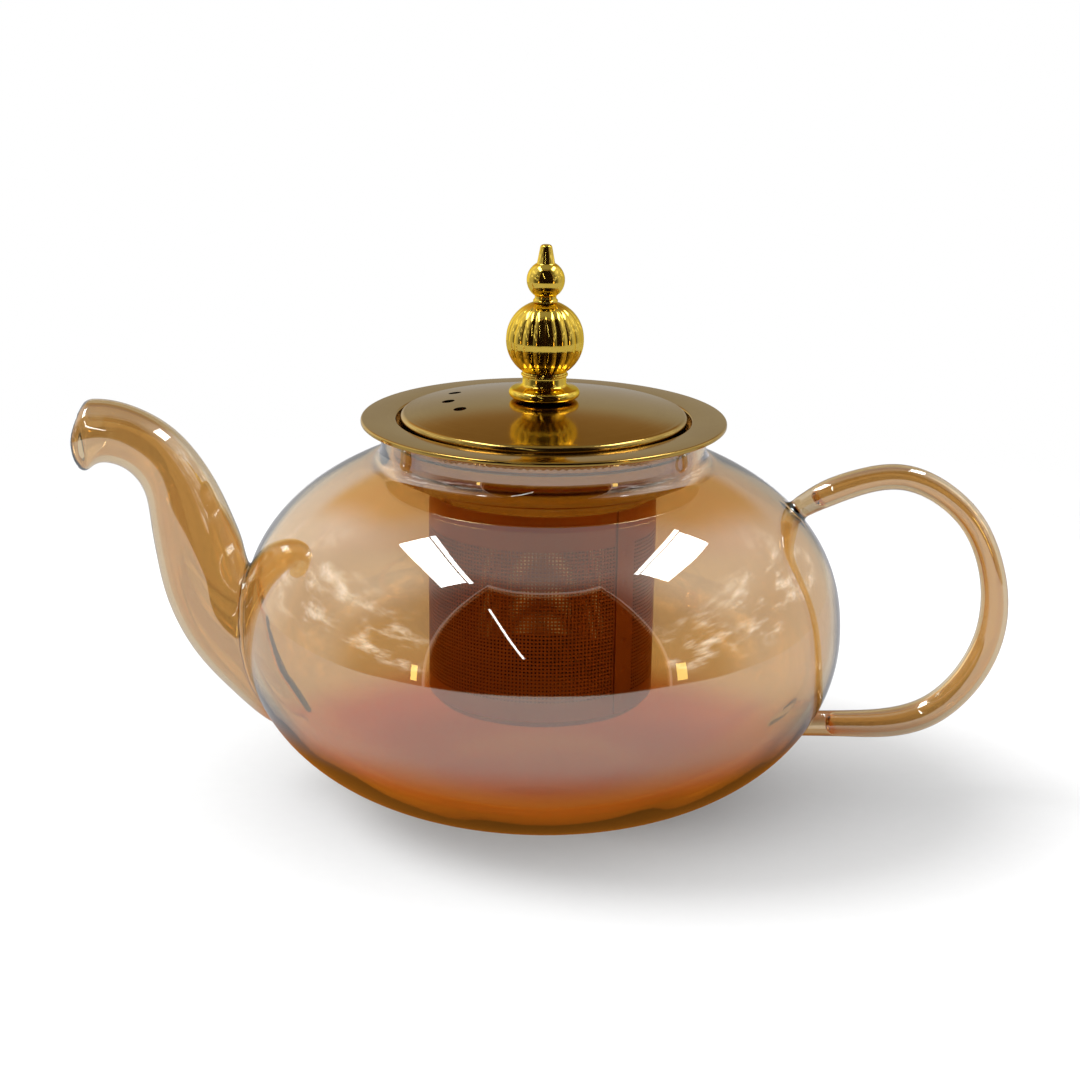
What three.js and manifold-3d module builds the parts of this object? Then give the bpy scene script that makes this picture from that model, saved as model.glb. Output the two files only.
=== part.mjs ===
// A round glass teapot with a lift-out steel infuser and a lift-off lid with a finial knob.
// Millimetres, +Z up, the origin at the centre of the flat base, the spout towards -X.
import * as THREE from "three";
import { mergeVertices } from "three/addons/utils/BufferGeometryUtils.js";
import Module from "manifold-3d";

// Glass bowl: two half ovals that meet at the widest level, with a flat base and a short neck.
const BOWL_RADIUS = 70.7;
const WIDEST_Z = 41;
const CROWN_RISE = 45.6;
const CROWN_POWER = 2.24;
const BELLY_POWER = 2.03;
const BASE_RADIUS = 21;
const GLASS_WALL = 2;
const BASE_THICKNESS = 3;
const NECK_RADIUS = 37.8;
const NECK_HEIGHT = 8.5;
const NECK_FILLET = 2.5;
const INSIDE_OVERRUN = 1;

// Spout: its lower and upper outline and its half width, from the root to the mouth.
// "out" is measured from the bowl's widest radius, "up" from the bowl's widest level.
const SPOUT_WALL = 1.8;
const SPOUT_OUTLINE = [
  { low: [-26, -25], high: [-24, 9], side: 13.5 },
  { low: [-6.2, -25.4], high: [-6.7, 10], side: 14.2 },
  { low: [1.9, -18.6], high: [-3.2, 11], side: 13.2 },
  { low: [8.8, -11.5], high: [-1.7, 12.5], side: 12 },
  { low: [14.3, -3.5], high: [-0.7, 15.5], side: 11 },
  { low: [17.9, 5], high: [0.1, 19], side: 10.5 },
  { low: [19.9, 14], high: [2.1, 24.4], side: 10 },
  { low: [21.2, 23], high: [5.5, 32], side: 9.2 },
  { low: [22.4, 30.4], high: [9.9, 39.2], side: 8.2 },
  { low: [25.3, 35], high: [15.6, 45.5], side: 7.6 },
  { low: [29.6, 37.3], high: [23.5, 50.2], side: 7.3 },
  { low: [33.7, 37], high: [30.8, 52.2], side: 7.6 },
  { low: [36.4, 34.5], high: [36.3, 52.3], side: 8.3 },
];

// Handle: the line and radius of a D-shaped bent tube, from the upper joint to the lower.
// Both ends start deep inside the bowl and are trimmed by it.
const HANDLE_WALL = 1.1;
const HANDLE_LINE = [
  { out: -22, up: 18.4, radius: 2.7 },
  { out: -9.1, up: 29.4, radius: 2.7 },
  { out: -4.5, up: 32, radius: 3.1 },
  { out: 2.5, up: 34.8, radius: 3.1 },
  { out: 13, up: 36.4, radius: 3 },
  { out: 24.6, up: 31.4, radius: 2.9 },
  { out: 30.6, up: 25.2, radius: 2.9 },
  { out: 34.8, up: 16.5, radius: 3 },
  { out: 36.7, up: 6, radius: 3.3 },
  { out: 35.8, up: -3, radius: 3.5 },
  { out: 33.4, up: -9.4, radius: 3.6 },
  { out: 29, up: -16, radius: 3.6 },
  { out: 22.1, up: -21.7, radius: 3.6 },
  { out: 14, up: -24.3, radius: 3.5 },
  { out: 4.1, up: -24.9, radius: 3.2 },
  { out: -24, up: -25, radius: 3.2 },
];

// Infuser: a flanged rim, a stepped collar, a rolled sheet basket and a base cup.
const SHEET = 0.6;
const SEAT_GAP = 0.3;
const PIECE_GAP = 0.3;
const FLANGE_OVERHANG = 4.7;
const FLANGE_LIP = 1.1;
const FLANGE_ROUND = 0.35;
const LEDGE_DEPTH = 4;
const LEDGE_WIDTH = 3.4;
const NECK_CLEARANCE = 0.9;
const COLLAR_HEIGHT = 8;
const BASKET_RADIUS = 26.5;
const BASKET_SHEET = 0.4;
const BASKET_LAP = 4;
const BASKET_LENGTH = 55;
const CUP_HEIGHT = 6.6;
const CUP_ROUND = 2.4;
const SEAM_BEARING = -45;
const SEAM_WIDTH = 5;
const SEAM_THICKNESS = 0.3;
const SEAM_BITE = 0.1;

// Lid: a low dome with a rolled edge that drops into the rim, and three steam vents.
const LID_CLEARANCE = 1;
const LID_EDGE_RISE = 1.3;
const LID_EDGE_ROUND = 1.9;
const LID_CROWN = 3.3;
const VENT_RADIUS = 1.5;
const VENT_COUNT = 3;
const VENT_ORBIT = 22.4;
const VENT_DRIFT = 2;
const VENT_BEARING = 174.5;
const VENT_STEP = 24.5;
const VENT_DRILL_LENGTH = 12;

// Knob: a flared foot, a fluted ball and a spire, clamped by one long screw.
const FOOT_RADIUS = 8.25;
const FOOT_FLARE_HEIGHT = 3.4;
const FOOT_TOE = 0.6;
const WAIST_RADIUS = 5.1;
const WAIST_HEIGHT = 2.7;
const BALL_RADIUS = 9.05;
const BALL_TOP_RADIUS = 2.9;
const BALL_SEAT_MARGIN = 0.4;
const FLUTE_COUNT = 20;
const FLUTE_DEPTH = 0.5;
const TOP_NECK_RADIUS = 2.5;
const TOP_NECK_HEIGHT = 1.3;
const SMALL_BALL_RADIUS = 4.4;
const SPIRE_HEIGHT = 4.3;
const SPIRE_BASE_RADIUS = 2.15;
const SPIRE_TIP_RADIUS = 1.05;
const SPIRE_TIP_CHAMFER = 0.45;
const SCREW_RADIUS = 1.5;
const SCREW_CLEARANCE = 0.3;
const SCREW_GRIP = 5;
const SCREW_HEAD_RADIUS = 3.1;
const SCREW_HEAD_HEIGHT = 1.8;
const SCREW_SLOT = 0.8;
const SCREW_CHAMFER = 0.45;
const WASHER_RADIUS = 4.5;
const WASHER_THICKNESS = 0.8;

// Facets round each kind of piece.
const BOWL_SEGMENTS = 40;
const KNOB_SEGMENTS = 20;
const SMALL_SEGMENTS = 12;
const TUBE_SEGMENTS = 12;
const OVAL_STEPS = 8;
const SPOUT_STEPS = 22;
const HANDLE_STEPS = 30;
const COVE_STEPS = 4;
const DOME_STEPS = 6;
const ROUND_STEPS = 3;
const BALL_STEPS = 8;
const RIGHT_ANGLE = Math.PI / 2;

// Heights and radii that follow from the sizes above.
const crownAngle = Math.acos((NECK_RADIUS / BOWL_RADIUS) ** (CROWN_POWER / 2));
const neckFootZ = WIDEST_Z + CROWN_RISE * Math.sin(crownAngle) ** (2 / CROWN_POWER);
const neckTopZ = neckFootZ + NECK_HEIGHT;
const flangeZ = neckTopZ + SEAT_GAP + SHEET;
const recessRadius = NECK_RADIUS - GLASS_WALL - NECK_CLEARANCE - SHEET;
const ledgeZ = flangeZ - LEDGE_DEPTH;
const collarTopZ = ledgeZ - SHEET - PIECE_GAP;
const collarStepZ = collarTopZ - COLLAR_HEIGHT;
const lapRadius = BASKET_RADIUS + SEAM_THICKNESS + PIECE_GAP;
const basketTopZ = collarStepZ;
const basketBottomZ = basketTopZ - BASKET_LENGTH + CUP_ROUND;
const cupRadius = BASKET_RADIUS - BASKET_SHEET - PIECE_GAP;
const cupBottomZ = basketTopZ - BASKET_LENGTH;
const lidRadius = recessRadius - LID_CLEARANCE;
const domeRadius = lidRadius - LID_EDGE_ROUND;
const domeEdgeZ = flangeZ + LID_EDGE_RISE;
const crownZ = domeEdgeZ + LID_CROWN;
const lidBottomZ = ledgeZ + SEAT_GAP;
const screwHole = SCREW_RADIUS + SCREW_CLEARANCE;
const footZ = crownZ + PIECE_GAP;
const ballBottomZ = footZ + FOOT_FLARE_HEIGHT + WAIST_HEIGHT + PIECE_GAP;
const ballBottomRadius = WAIST_RADIUS + BALL_SEAT_MARGIN;
const ballZ = ballBottomZ + Math.sqrt(BALL_RADIUS ** 2 - ballBottomRadius ** 2);
const ballTopZ = ballZ + Math.sqrt(BALL_RADIUS ** 2 - BALL_TOP_RADIUS ** 2);
const spireBottomZ = ballTopZ + PIECE_GAP;

const wasm = await Module();
wasm.setup();

function finish(color, roughness, metalness) {
  return new THREE.MeshStandardMaterial({ color, roughness, metalness });
}

const glass = finish(0xcfa27a, 0.04, 0);
glass.transparent = true;
glass.opacity = 0.45;
const bronzeSteel = finish(0x8f7448, 0.28, 1);
const goldPlate = finish(0xc9a227, 0.12, 1);
const plainSteel = finish(0xb8b8b4, 0.3, 1);

const degrees = (angle) => (angle * Math.PI) / 180;
const point = (radius, z) => new THREE.Vector2(radius, z);

// A turned solid about the Z axis. Its profile runs up the outside.
function turned(profile, segments) {
  return new THREE.LatheGeometry(profile, segments).rotateX(RIGHT_ANGLE);
}

// The same for a ring, whose profile closes on itself.
function ring(profile, segments) {
  return turned([...profile, profile[0].clone()], segments);
}

// Points of an arc about a centre, between two angles in degrees from +radius.
function arc(centreRadius, centreZ, radius, from, to, steps) {
  const points = [];
  for (let i = 0; i <= steps; i += 1) {
    const angle = degrees(from + ((to - from) * i) / steps);
    const r = centreRadius + radius * Math.cos(angle);
    points.push(point(r, centreZ + radius * Math.sin(angle)));
  }
  return points;
}

function toManifold(geometry) {
  const bare = geometry.clone();
  bare.deleteAttribute("normal");
  bare.deleteAttribute("uv");
  const merged = mergeVertices(bare, 1e-4);
  return new wasm.Manifold(
    new wasm.Mesh({
      numProp: 3,
      vertProperties: merged.attributes.position.array,
      triVerts: new Uint32Array(merged.index.array),
    }),
  );
}

function toGeometry(solid) {
  const cut = solid.getMesh();
  const geometry = new THREE.BufferGeometry();
  geometry.setAttribute("position", new THREE.BufferAttribute(cut.vertProperties, 3));
  geometry.setIndex(new THREE.BufferAttribute(cut.triVerts, 1));
  geometry.computeVertexNormals();
  return geometry;
}

const group = new THREE.Group();
function add(name, geometry, material) {
  const mesh = new THREE.Mesh(geometry, material);
  mesh.name = name;
  group.add(mesh);
}

// ---- Bowl ----

// Upper half of an oval, from the widest level in to a given radius.
function crownPoints(radius, rise, endRadius) {
  const endAngle = Math.acos((endRadius / radius) ** (CROWN_POWER / 2));
  const points = [];
  for (let i = 0; i <= OVAL_STEPS; i += 1) {
    const angle = (endAngle * i) / OVAL_STEPS;
    const r = radius * Math.cos(angle) ** (2 / CROWN_POWER);
    points.push(point(r, WIDEST_Z + rise * Math.sin(angle) ** (2 / CROWN_POWER)));
  }
  return points;
}

// Lower half of an oval, from the flat base out to the widest level.
function bellyPoints(radius, depth) {
  const points = [];
  for (let i = 0; i <= OVAL_STEPS; i += 1) {
    const angle = (RIGHT_ANGLE * i) / OVAL_STEPS;
    const spread = (radius - BASE_RADIUS) * Math.sin(angle) ** (2 / BELLY_POWER);
    const drop = depth * Math.max(0, Math.cos(angle)) ** (2 / BELLY_POWER);
    points.push(point(BASE_RADIUS + spread, WIDEST_Z - drop));
  }
  return points;
}

// A solid bounded by the bowl and neck skin, moved in from the outside by an inset.
function skinSolid(inset, baseInset, topZ) {
  const radius = BOWL_RADIUS - inset;
  const neckRadius = NECK_RADIUS - inset;
  const crown = crownPoints(radius, CROWN_RISE - inset, neckRadius + NECK_FILLET);
  const profile = [
    point(0, baseInset),
    ...bellyPoints(radius, WIDEST_Z - baseInset),
    ...crown.slice(1),
    ...arc(neckRadius + NECK_FILLET, neckFootZ + NECK_FILLET, NECK_FILLET, 225, 180, 1),
    point(neckRadius, topZ),
    point(0, topZ),
  ];
  return toManifold(turned(profile, BOWL_SEGMENTS));
}

function smoothCurve(points) {
  return new THREE.CatmullRomCurve3(points, false, "centripetal");
}

// A cross-section has a centre, a half axis in the XZ plane and a half width along Y.
// These come from a lower and an upper outline.
function outlineSections(stations) {
  const lows = smoothCurve(stations.map((s) => s.low));
  const highs = smoothCurve(stations.map((s) => s.high));
  const sides = smoothCurve(stations.map((s, i) => new THREE.Vector3(i, s.side, 0)));
  return (along) => {
    const low = lows.getPoint(along);
    const high = highs.getPoint(along);
    const centre = low.clone().add(high).multiplyScalar(0.5);
    const half = low.clone().sub(centre);
    return { centre, half, side: sides.getPoint(along).y };
  };
}

// These come from a centre line and a radius.
function lineSections(stations) {
  const line = smoothCurve(stations.map((s) => s.centre));
  const radii = smoothCurve(stations.map((s, i) => new THREE.Vector3(i, s.radius, 0)));
  return (along) => {
    const heading = line.getTangent(along);
    const radius = radii.getPoint(along).y;
    const half = new THREE.Vector3(-heading.z, 0, heading.x).multiplyScalar(radius);
    return { centre: line.getPoint(along), half, side: radius };
  };
}

// A straight turned blank is bent through the cross-sections. In the blank the bore and the
// outside have these reaches from the axis, and y runs from 0 to 1 along the line.
const BORE = 1;
const OUTSIDE = 2;
function bendAlong(profile, sectionAt, wall) {
  const blank = new THREE.LatheGeometry(profile, TUBE_SEGMENTS);
  const vertices = blank.attributes.position;
  for (let i = 0; i < vertices.count; i += 1) {
    const x = vertices.getX(i);
    const z = vertices.getZ(i);
    const reach = Math.hypot(x, z);
    const inset = reach > (BORE + OUTSIDE) / 2 ? 0 : wall;
    const { centre, half, side } = sectionAt(vertices.getY(i));
    const lift = reach > 0 ? (x / reach) * (1 - inset / half.length()) : 0;
    const across = reach > 0 ? (z / reach) * (side - inset) : 0;
    vertices.setXYZ(i, centre.x + lift * half.x, across, centre.z + lift * half.z);
  }
  return toManifold(blank);
}

// One side of the blank's profile, in equal steps.
function blankSide(reach, steps) {
  const side = [];
  for (let i = 0; i <= steps; i += 1) side.push(point(reach, i / steps));
  return side;
}

function bentTube(sectionAt, wall, steps) {
  const profile = [...blankSide(OUTSIDE, steps), ...blankSide(BORE, steps).reverse()];
  return bendAlong([...profile, point(OUTSIDE, 0)], sectionAt, wall);
}

function bentBore(sectionAt, wall, steps) {
  const profile = [point(0, 0), ...blankSide(BORE, steps), point(0, 1)];
  return bendAlong(profile, sectionAt, wall);
}

function besideBowl(side, [out, up]) {
  return new THREE.Vector3(side * (BOWL_RADIUS + out), 0, WIDEST_Z + up);
}

const spoutSections = outlineSections(
  SPOUT_OUTLINE.map(({ low, high, side }) => ({
    low: besideBowl(-1, low),
    high: besideBowl(-1, high),
    side,
  })),
);
const handleSections = lineSections(
  HANDLE_LINE.map(({ out, up, radius }) => ({ centre: besideBowl(1, [out, up]), radius })),
);

const outside = skinSolid(0, 0, neckTopZ);
const inside = skinSolid(GLASS_WALL, BASE_THICKNESS, neckTopZ + INSIDE_OVERRUN);
const keepOut = skinSolid(-PIECE_GAP, -PIECE_GAP, neckTopZ);
const spoutBore = bentBore(spoutSections, SPOUT_WALL, SPOUT_STEPS);
const spoutTube = bentTube(spoutSections, SPOUT_WALL, SPOUT_STEPS);
const handleTube = bentTube(handleSections, HANDLE_WALL, HANDLE_STEPS);

add("glass_body", toGeometry(outside.subtract(inside).subtract(spoutBore)), glass);
add("glass_spout", toGeometry(spoutTube.subtract(keepOut)), glass);
add("glass_handle", toGeometry(handleTube.subtract(keepOut)), glass);

// ---- Infuser ----

function rimProfile() {
  const outer = NECK_RADIUS + FLANGE_OVERHANG;
  const ledgeInner = recessRadius + SHEET - LEDGE_WIDTH;
  return [
    point(outer, flangeZ - FLANGE_LIP),
    point(outer, flangeZ - FLANGE_ROUND),
    point(outer - FLANGE_ROUND, flangeZ),
    point(recessRadius + FLANGE_ROUND, flangeZ),
    point(recessRadius, flangeZ - FLANGE_ROUND),
    point(recessRadius, ledgeZ),
    point(ledgeInner, ledgeZ),
    point(ledgeInner, ledgeZ - SHEET),
    point(recessRadius + SHEET, ledgeZ - SHEET),
    point(recessRadius + SHEET, flangeZ - SHEET),
    point(outer - SHEET, flangeZ - SHEET),
    point(outer - SHEET, flangeZ - FLANGE_LIP),
  ];
}

function collarProfile() {
  const outer = recessRadius + SHEET;
  const step = collarStepZ;
  return [
    point(lapRadius + SHEET, step - BASKET_LAP),
    point(lapRadius + SHEET, step - SHEET),
    point(outer - SHEET, step - SHEET),
    point(outer, step),
    point(outer, collarTopZ),
    point(outer - SHEET, collarTopZ),
    point(outer - SHEET, step),
    point(lapRadius, step),
    point(lapRadius, step - BASKET_LAP),
  ];
}

// A rolled sheet whose ends overlap in one upright seam.
function basket() {
  const inner = BASKET_RADIUS - BASKET_SHEET;
  const sheet = ring(
    [
      point(BASKET_RADIUS, basketBottomZ),
      point(BASKET_RADIUS, basketTopZ),
      point(inner, basketTopZ),
      point(inner, basketBottomZ),
    ],
    BOWL_SEGMENTS,
  );
  const seamOuter = BASKET_RADIUS + SEAM_THICKNESS;
  const halfAngle = SEAM_WIDTH / BASKET_RADIUS / 2;
  const bearing = degrees(SEAM_BEARING);
  const outline = new THREE.Shape();
  outline.absarc(0, 0, seamOuter, bearing - halfAngle, bearing + halfAngle, false);
  outline.absarc(0, 0, inner + SEAM_BITE, bearing + halfAngle, bearing - halfAngle, true);
  const height = basketTopZ - basketBottomZ;
  const strip = new THREE.ExtrudeGeometry(outline, {
    depth: height,
    bevelEnabled: false,
    curveSegments: 4,
  });
  strip.translate(0, 0, basketBottomZ);
  return toGeometry(toManifold(sheet).add(toManifold(strip)));
}

function cupProfile() {
  const round = CUP_ROUND;
  const top = cupBottomZ + CUP_HEIGHT;
  const outer = arc(cupRadius - round, cupBottomZ + round, round, -90, 0, ROUND_STEPS);
  const inner = arc(cupRadius - round, cupBottomZ + round, round - SHEET, 0, -90, ROUND_STEPS);
  return [
    point(0, cupBottomZ),
    ...outer,
    point(cupRadius, top),
    point(cupRadius - SHEET, top),
    ...inner,
    point(0, cupBottomZ + SHEET),
  ];
}

add("infuser_rim", ring(rimProfile(), BOWL_SEGMENTS), bronzeSteel);
add("infuser_collar", ring(collarProfile(), BOWL_SEGMENTS), bronzeSteel);
add("infuser_basket", basket(), bronzeSteel);
add("infuser_base", turned(cupProfile(), BOWL_SEGMENTS), bronzeSteel);

// ---- Lid ----

const crownSphere = (domeRadius ** 2 + LID_CROWN ** 2) / (2 * LID_CROWN);
const domeZ = (r) => crownZ - crownSphere + Math.sqrt(crownSphere ** 2 - r ** 2);

function domePoints(drop) {
  const points = [];
  for (let i = 0; i <= DOME_STEPS; i += 1) {
    const r = domeRadius + ((screwHole - domeRadius) * i) / DOME_STEPS;
    points.push(point(r, domeZ(r) - drop));
  }
  return points;
}

function ventPlace(index) {
  const turn = index - (VENT_COUNT - 1) / 2;
  const bearing = degrees(VENT_BEARING + turn * VENT_STEP);
  const orbit = VENT_ORBIT - turn * VENT_DRIFT;
  return [orbit * Math.cos(bearing), orbit * Math.sin(bearing)];
}

function lidDome() {
  const edgeZ = domeEdgeZ - LID_EDGE_ROUND;
  const profile = [
    point(lidRadius, lidBottomZ),
    ...arc(domeRadius, edgeZ, LID_EDGE_ROUND, 0, 90, ROUND_STEPS).slice(0, -1),
    ...domePoints(0),
    ...domePoints(SHEET).reverse(),
    ...arc(domeRadius, edgeZ, LID_EDGE_ROUND - SHEET, 90, 0, ROUND_STEPS).slice(1),
    point(lidRadius - SHEET, lidBottomZ),
  ];
  let dome = toManifold(ring(profile, BOWL_SEGMENTS));
  for (let i = 0; i < VENT_COUNT; i += 1) {
    const [x, y] = ventPlace(i);
    const length = VENT_DRILL_LENGTH;
    const drill = new THREE.CylinderGeometry(VENT_RADIUS, VENT_RADIUS, length, SMALL_SEGMENTS);
    drill.rotateX(RIGHT_ANGLE);
    drill.translate(x, y, domeEdgeZ);
    dome = dome.subtract(toManifold(drill));
  }
  return toGeometry(dome);
}

add("lid_dome", lidDome(), bronzeSteel);

// ---- Knob ----

function footProfile() {
  const waistZ = footZ + FOOT_FLARE_HEIGHT;
  const flare = FOOT_RADIUS - FOOT_TOE - WAIST_RADIUS;
  const rise = FOOT_FLARE_HEIGHT - 2 * FOOT_TOE;
  const cove = [];
  for (let i = 1; i <= COVE_STEPS; i += 1) {
    const angle = (RIGHT_ANGLE * i) / COVE_STEPS;
    const r = WAIST_RADIUS + flare * (1 - Math.sin(angle));
    cove.push(point(r, waistZ - rise * Math.cos(angle)));
  }
  return [
    ...arc(FOOT_RADIUS - FOOT_TOE, footZ + FOOT_TOE, FOOT_TOE, -90, 90, 4),
    ...cove,
    point(WAIST_RADIUS, waistZ + WAIST_HEIGHT),
    point(screwHole, waistZ + WAIST_HEIGHT),
    point(screwHole, footZ),
  ];
}

// A bored ball with rounded lobes and sharp valleys between them.
function flutedBall() {
  const low = -degrees(90) + Math.asin(ballBottomRadius / BALL_RADIUS);
  const high = degrees(90) - Math.asin(BALL_TOP_RADIUS / BALL_RADIUS);
  const profile = [];
  for (let i = 0; i <= BALL_STEPS; i += 1) {
    const angle = low + ((high - low) * i) / BALL_STEPS;
    const r = BALL_RADIUS * Math.cos(angle);
    profile.push(point(r, ballZ + BALL_RADIUS * Math.sin(angle)));
  }
  profile.push(point(screwHole, ballTopZ));
  profile.push(point(screwHole, ballBottomZ));
  const geometry = ring(profile, FLUTE_COUNT * 2);
  const vertices = geometry.attributes.position;
  for (let i = 0; i < vertices.count; i += 1) {
    const x = vertices.getX(i);
    const y = vertices.getY(i);
    const reach = Math.hypot(x, y);
    const lobe = Math.abs(Math.sin((FLUTE_COUNT / 2) * Math.atan2(y, x)));
    const body = Math.max(0, (reach - screwHole) / (BALL_RADIUS - screwHole));
    const scale = 1 - (FLUTE_DEPTH * body * (1 - lobe)) / Math.max(reach, 1);
    vertices.setXYZ(i, x * scale, y * scale, vertices.getZ(i));
  }
  return geometry;
}

function spireProfile() {
  const neckTop = spireBottomZ + TOP_NECK_HEIGHT;
  const ballLow = Math.asin(TOP_NECK_RADIUS / SMALL_BALL_RADIUS);
  const ballHigh = Math.asin(SPIRE_BASE_RADIUS / SMALL_BALL_RADIUS);
  const centreZ = neckTop + SMALL_BALL_RADIUS * Math.cos(ballLow);
  const ballTop = centreZ + SMALL_BALL_RADIUS * Math.cos(ballHigh);
  const from = -90 + (ballLow * 180) / Math.PI;
  const to = 90 - (ballHigh * 180) / Math.PI;
  return [
    point(0, spireBottomZ + SCREW_GRIP),
    point(screwHole, spireBottomZ + SCREW_GRIP),
    point(screwHole, spireBottomZ),
    point(TOP_NECK_RADIUS, spireBottomZ),
    ...arc(0, centreZ, SMALL_BALL_RADIUS, from, to, BALL_STEPS),
    point(SPIRE_TIP_RADIUS, ballTop + SPIRE_HEIGHT - SPIRE_TIP_CHAMFER),
    point(SPIRE_TIP_RADIUS - SPIRE_TIP_CHAMFER, ballTop + SPIRE_HEIGHT),
    point(0, ballTop + SPIRE_HEIGHT),
  ];
}

add("knob_foot", ring(footProfile(), KNOB_SEGMENTS), goldPlate);
add("knob_fluted_ball", flutedBall(), goldPlate);
add("knob_spire", turned(spireProfile(), KNOB_SEGMENTS), goldPlate);

const washerTopZ = crownZ - SHEET - PIECE_GAP;
const washerBottomZ = washerTopZ - WASHER_THICKNESS;
const headTopZ = washerBottomZ - PIECE_GAP;
const headBottomZ = headTopZ - SCREW_HEAD_HEIGHT;
const screwTipZ = spireBottomZ + SCREW_GRIP - PIECE_GAP;

function washerProfile() {
  return [
    point(WASHER_RADIUS, washerBottomZ),
    point(WASHER_RADIUS, washerTopZ),
    point(screwHole, washerTopZ),
    point(screwHole, washerBottomZ),
  ];
}

function knobScrew() {
  const profile = [
    point(0, headBottomZ),
    point(SCREW_HEAD_RADIUS - SCREW_CHAMFER, headBottomZ),
    point(SCREW_HEAD_RADIUS, headBottomZ + SCREW_CHAMFER),
    point(SCREW_HEAD_RADIUS, headTopZ),
    point(SCREW_RADIUS, headTopZ),
    point(SCREW_RADIUS, screwTipZ - SCREW_CHAMFER),
    point(SCREW_RADIUS - SCREW_CHAMFER, screwTipZ),
    point(0, screwTipZ),
  ];
  const slot = new THREE.BoxGeometry(SCREW_HEAD_RADIUS * 3, SCREW_SLOT, SCREW_SLOT * 2);
  slot.translate(0, 0, headBottomZ);
  const blank = toManifold(turned(profile, SMALL_SEGMENTS));
  return toGeometry(blank.subtract(toManifold(slot)));
}

add("knob_washer", ring(washerProfile(), SMALL_SEGMENTS), plainSteel);
add("knob_screw", knobScrew(), plainSteel);

export default group;
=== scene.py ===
import math

import bmesh
import bpy
import numpy as np
from mathutils import Matrix, Vector
from mathutils.kdtree import KDTree


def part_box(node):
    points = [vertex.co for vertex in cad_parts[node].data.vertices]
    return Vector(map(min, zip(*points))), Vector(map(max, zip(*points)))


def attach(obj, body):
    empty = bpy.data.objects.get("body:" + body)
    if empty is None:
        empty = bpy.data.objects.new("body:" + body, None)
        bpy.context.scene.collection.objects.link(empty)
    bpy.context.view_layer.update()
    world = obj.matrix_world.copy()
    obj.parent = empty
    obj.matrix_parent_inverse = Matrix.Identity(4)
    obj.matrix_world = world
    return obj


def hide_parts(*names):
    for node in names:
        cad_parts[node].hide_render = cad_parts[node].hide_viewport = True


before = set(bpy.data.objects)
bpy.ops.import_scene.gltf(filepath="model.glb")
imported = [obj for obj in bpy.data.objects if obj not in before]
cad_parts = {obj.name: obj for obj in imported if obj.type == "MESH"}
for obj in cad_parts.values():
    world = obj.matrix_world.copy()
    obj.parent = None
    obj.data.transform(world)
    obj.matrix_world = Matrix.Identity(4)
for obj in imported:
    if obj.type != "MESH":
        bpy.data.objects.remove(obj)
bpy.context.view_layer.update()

# ---- Sizes, in metres ----

MM = 0.001

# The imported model's own sizes.
glass_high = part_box("glass_body")[1]
rim_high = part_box("infuser_rim")[1]
collar_low, collar_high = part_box("infuser_collar")
basket_low, basket_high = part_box("infuser_basket")
cup_low, cup_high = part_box("infuser_base")
dome_low, dome_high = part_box("lid_dome")
foot_low, foot_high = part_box("knob_foot")
ball_low, ball_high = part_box("knob_fluted_ball")
spire_low, spire_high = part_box("knob_spire")
washer_low, washer_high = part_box("knob_washer")
screw_low, screw_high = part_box("knob_screw")

BOWL_RADIUS = glass_high.y
NECK_TOP = glass_high.z
RIM_RADIUS = rim_high.y
RIM_TOP = rim_high.z
COLLAR_RADIUS = collar_high.y
BASKET_RADIUS = basket_high.y
CUP_RADIUS = cup_high.y
LID_RADIUS = dome_high.y
CROWN_TOP = dome_high.z

# Bowl: two half ovals that meet at the widest level, a flat base and a short neck.
WIDEST = 41 * MM
CROWN_RISE = 45.6 * MM
CROWN_POWER = 2.24
BELLY_POWER = 2.03
BASE_RADIUS = 21 * MM
BASE_THICKNESS = 3 * MM
BOWL_WALL = 2 * MM
NECK_RADIUS = 37.8 * MM
NECK_HEIGHT = 8.5 * MM
NECK_FILLET = 3.2 * MM

# Spout: lower outline, upper outline and half width, out from the bowl's widest radius and
# up from its widest level, from the root to the mouth.
SPOUT_WALL = 1.7 * MM
MOUTH_BOW = 2.3 * MM
MOUTH_BOW_LENGTH = 9 * MM
SPOUT_OUTLINE = [
    ((-26, -25), (-24, 9), 13.5),
    ((-6.2, -25.4), (-6.7, 10), 14.2),
    ((1.9, -18.6), (-3.2, 11), 13.2),
    ((8.8, -11.5), (-1.7, 12.5), 12),
    ((14.3, -3.5), (-0.7, 15.5), 11),
    ((17.9, 5), (0.1, 19), 10.5),
    ((19.9, 14), (2.1, 24.4), 10),
    ((21.2, 23), (5.5, 32), 9.2),
    ((22.4, 30.4), (9.9, 39.2), 8.2),
    ((25.3, 35), (15.6, 45.5), 7.6),
    ((29.6, 37.3), (23.5, 50.2), 7.3),
    ((33.7, 37), (30.8, 52.2), 7.6),
    ((36.4, 34.5), (36.3, 52.3), 8.3),
]

# Handle: the line and radius of a bent tube, from the upper joint to the lower one.
HANDLE_WALL = 1.1 * MM
HANDLE_LINE = [
    (-22, 18.4, 2.7),
    (-9.1, 29.4, 2.7),
    (-4.5, 32, 3.1),
    (2.5, 34.8, 3.1),
    (13, 36.4, 3),
    (24.6, 31.4, 2.9),
    (30.6, 25.2, 2.9),
    (34.8, 16.5, 3),
    (36.7, 6, 3.3),
    (35.8, -3, 3.5),
    (33.4, -9.4, 3.6),
    (29, -16, 3.6),
    (22.1, -21.7, 3.6),
    (14, -24.3, 3.5),
    (4.1, -24.9, 3.2),
    (-24, -25, 3.2),
]
HANDLE_BORE_FROM = -8.5 * MM
HANDLE_BORE_TO = -3.5 * MM

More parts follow.
